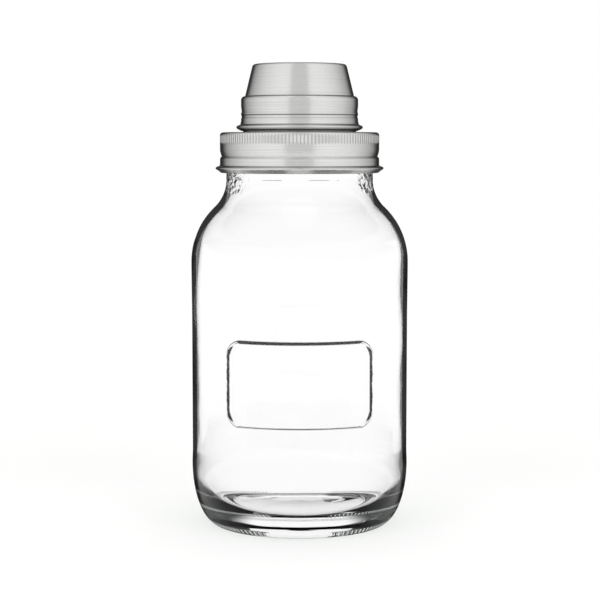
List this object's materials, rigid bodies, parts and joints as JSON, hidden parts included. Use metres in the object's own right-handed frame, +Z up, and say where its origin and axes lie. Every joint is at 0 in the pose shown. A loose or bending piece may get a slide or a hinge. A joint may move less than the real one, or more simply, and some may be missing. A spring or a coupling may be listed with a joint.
{
  "type": "cocktail shaker",
  "caption": "Glass screw-top cocktail shaker jar with a knurled steel strainer lid and a stepped measuring cap.",
  "frame": {"origin": "centre of the jar's base, on the surface it stands on", "axes": "+Z up along the jar's axis, -Y towards the front with the label panel"},
  "size_m": [0.1012, 0.1013, 0.2141],
  "materials": {
    "clear_glass": "clear soda-lime glass, moulded, glossy",
    "satin_steel": "stainless steel brushed around its axis",
    "strainer_steel": "pressed and punched stainless steel, satin",
    "liner_plastic": "moulded white polypropylene",
    "silicone": "translucent white silicone, satin"
  },
  "bodies": {
    "jar": {"glass_jar": "clear_glass"},
    "gasket": {"lid_gasket": "silicone"},
    "lid": {"lid_shell": "satin_steel", "thread_ring": "liner_plastic", "pouring_collar": "satin_steel", "strainer_disc": "strainer_steel"},
    "cap": {"measuring_cap": "satin_steel", "cap_seal": "silicone"}
  },
  "joints": [
    {"name": "lid_rise", "type": "slide", "parent": "jar", "child": "gasket", "axis": [0, 0, 1], "range_m": [0, 0.00424]},
    {"name": "lid_turn", "type": "hinge", "parent": "gasket", "child": "lid", "pos_m": [0, 0, 0.1803], "axis": [0, 0, 1], "range_deg": [0, 300]},
    {"name": "cap_lift", "type": "slide", "parent": "lid", "child": "cap", "axis": [0, 0, 1], "range_m": [0, 0.06]}
  ],
  "couplings": [
    {"joint": "lid_rise", "follows": "lid_turn", "m_per_rad": 0.00080851}
  ]
}
